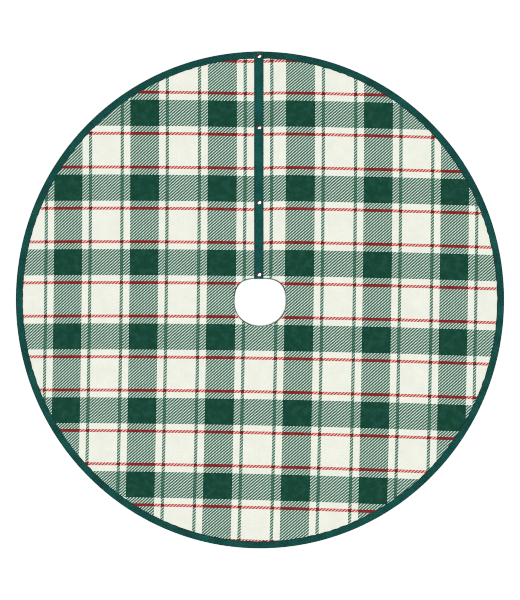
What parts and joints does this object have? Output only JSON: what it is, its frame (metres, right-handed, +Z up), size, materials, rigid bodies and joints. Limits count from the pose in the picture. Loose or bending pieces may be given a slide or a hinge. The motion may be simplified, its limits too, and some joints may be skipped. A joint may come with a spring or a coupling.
{
  "type": "tree skirt",
  "caption": "Round woven-plaid tree skirt with a bound rim, a trunk hole, and a slit closed by an overlap tape with domed snaps.",
  "frame": {"origin": "on the floor, under the middle of the skirt's box when it lies flat and closed", "axes": "+Z up from the floor, +Y from the trunk hole along the slit to the rim, +X to the slit's right"},
  "size_m": [1.198, 1.219, 0.0077],
  "materials": {
    "plaid_cloth": "chunky two-up two-down twill plaid in off-white, dark green and red, lightly brushed",
    "lining_cloth": "plain off-white backing cloth",
    "green_tape": "dark teal-green woven tape with a faint sheen, folded double",
    "hem_tape": "narrow dark-green edging round the trunk hole",
    "green_thread": "dark green sewing thread",
    "silver_metal": "bright polished nickel",
    "spring_steel": "plain spring steel wire"
  },
  "bodies": {
    "right_side": {"face_panel_right": "plaid_cloth", "lining_right": "lining_cloth", "rim_binding_right": "green_tape", "hole_hem_right": "hem_tape", "underlap_tape": "green_tape", "rim_stitching_right": "green_thread", "hole_stitching_right": "green_thread", "underlap_seam_stitching": "green_thread", "snap_stud_1": "silver_metal", "snap_post_1": "silver_metal", "snap_stud_2": "silver_metal", "snap_post_2": "silver_metal", "snap_stud_3": "silver_metal", "snap_post_3": "silver_metal", "snap_stud_4": "silver_metal", "snap_post_4": "silver_metal"},
    "left_side": {"face_panel_left": "plaid_cloth", "lining_left": "lining_cloth", "rim_binding_left": "green_tape", "hole_hem_left": "hem_tape", "overlap_tape_margin": "green_tape", "rim_stitching_left": "green_thread", "hole_stitching_left": "green_thread", "overlap_seam_stitching": "green_thread"},
    "overlap_flap": {"overlap_tape_flap": "green_tape", "overlap_edge_stitching": "green_thread", "snap_cap_1": "silver_metal", "snap_cap_post_1": "spring_steel", "snap_socket_1": "silver_metal", "snap_spring_1": "spring_steel", "snap_cap_2": "silver_metal", "snap_cap_post_2": "spring_steel", "snap_socket_2": "silver_metal", "snap_spring_2": "spring_steel", "snap_cap_3": "silver_metal", "snap_cap_post_3": "spring_steel", "snap_socket_3": "silver_metal", "snap_spring_3": "spring_steel", "snap_cap_4": "silver_metal", "snap_cap_post_4": "spring_steel", "snap_socket_4": "silver_metal", "snap_spring_4": "spring_steel"}
  },
  "joints": [
    {"name": "fold_in_half", "type": "hinge", "parent": "right_side", "child": "left_side", "pos_m": [0.0085, 0, 0.008], "axis": [0, 1, 0], "range_deg": [0, 178]},
    {"name": "overlap_lift", "type": "hinge", "parent": "left_side", "child": "overlap_flap", "pos_m": [-0.00985, 0.33, 0.0063], "axis": [0, -1, 0], "range_deg": [0, 175]}
  ]
}
